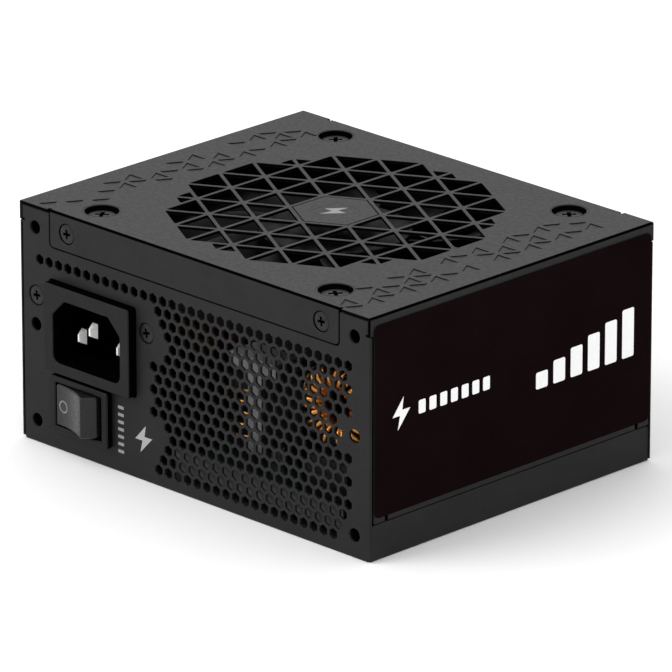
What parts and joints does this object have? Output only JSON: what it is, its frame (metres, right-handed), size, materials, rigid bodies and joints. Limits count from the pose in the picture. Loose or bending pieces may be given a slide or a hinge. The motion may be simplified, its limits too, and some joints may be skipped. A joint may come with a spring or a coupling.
{
  "type": "computer power supply unit",
  "caption": "Small form factor computer power supply: steel case, fan under a triangular grille, mains inlet, rocker switch, hexagonal vents and modular sockets.",
  "frame": {"origin": "under the middle of the unit's bounding box, on the face it rests on", "axes": "+X across the mains panel towards the printed side label, -Y out of the mains panel, +Y out of the modular socket panel, +Z out of the fan grille"},
  "size_m": [0.125, 0.106, 0.0635],
  "materials": {
    "case_steel": "dark grey powder coat, fine grain",
    "cover_steel": "black powder coat, fine grain",
    "label_film": "near-black printed film",
    "badge": "brushed badge",
    "screw_steel": "black zinc",
    "black_nylon": "moulded black nylon",
    "plated_brass": "nickel plated brass",
    "fan_plastic": "moulded black plastic",
    "bearing_bronze": "sintered bronze",
    "bright_steel": "ground steel",
    "copper": "enamelled copper wire",
    "ferrite": "grey ferrite",
    "aluminium": "extruded aluminium",
    "circuit_board": "green fibreglass board",
    "capacitor_film": "black shrink sleeve",
    "transformer_tape": "yellow polyester tape",
    "insulating_film": "insulating film"
  },
  "bodies": {
    "case": {"ac_panel": "case_steel", "bridge_rectifier": "black_nylon", "bulk_capacitor": "capacitor_film", "chassis_tray": "case_steel", "control_board": "circuit_board", "cover_screw_front_left": "screw_steel", "cover_screw_front_right": "screw_steel", "cover_screw_rear_left": "screw_steel", "cover_screw_rear_right": "screw_steel", "drum_choke_core": "ferrite", "drum_choke_winding": "copper", "fan_bearing": "bearing_bronze", "fan_circuit_board": "circuit_board", "fan_frame": "fan_plastic", "fan_screw_1": "screw_steel", "fan_screw_2": "screw_steel", "fan_screw_3": "screw_steel", "fan_screw_4": "screw_steel", "fan_stator": "copper", "filter_choke_core": "ferrite", "filter_choke_winding": "copper", "grille_badge": "badge", "inlet_housing": "black_nylon", "inlet_pin_earth": "plated_brass", "inlet_pin_line": "plated_brass", "inlet_pin_neutral": "plated_brass", "inlet_screw_left": "screw_steel", "inlet_screw_right": "screw_steel", "insulator_sheet": "insulating_film", "main_board": "circuit_board", "modular_board": "circuit_board", "output_capacitor_1": "capacitor_film", "output_capacitor_2": "capacitor_film", "pfc_choke_base": "black_nylon", "pfc_choke_core": "ferrite", "pfc_choke_winding": "copper", "primary_heatsink": "aluminium", "secondary_heatsink": "aluminium", "side_label_left": "label_film", "side_label_right": "label_film", "socket_board_10_way": "black_nylon", "socket_board_18_way": "black_nylon", "socket_drives": "black_nylon", "socket_power_a": "black_nylon", "socket_power_b": "black_nylon", "socket_power_c": "black_nylon", "socket_power_d": "black_nylon", "standby_transformer": "transformer_tape", "switch_housing": "black_nylon", "switch_terminal_1": "plated_brass", "switch_terminal_2": "plated_brass", "top_cover": "cover_steel", "transformer_core": "ferrite", "transformer_winding": "transformer_tape", "x_capacitor": "black_nylon"},
    "fan_blades": {"fan_rotor": "fan_plastic", "fan_shaft": "bright_steel", "fan_magnet_ring": "ferrite"},
    "rocker": {"switch_rocker": "black_nylon"}
  },
  "joints": [
    {"name": "fan_spin", "type": "hinge", "parent": "case", "child": "fan_blades", "pos_m": [0, 0.002, 0.052], "axis": [0, 0, 1], "continuous": true},
    {"name": "rocker_press", "type": "hinge", "parent": "case", "child": "rocker", "pos_m": [-0.03935, -0.044, 0.01315], "axis": [0, 0, 1], "range_deg": [0, 29]}
  ]
}
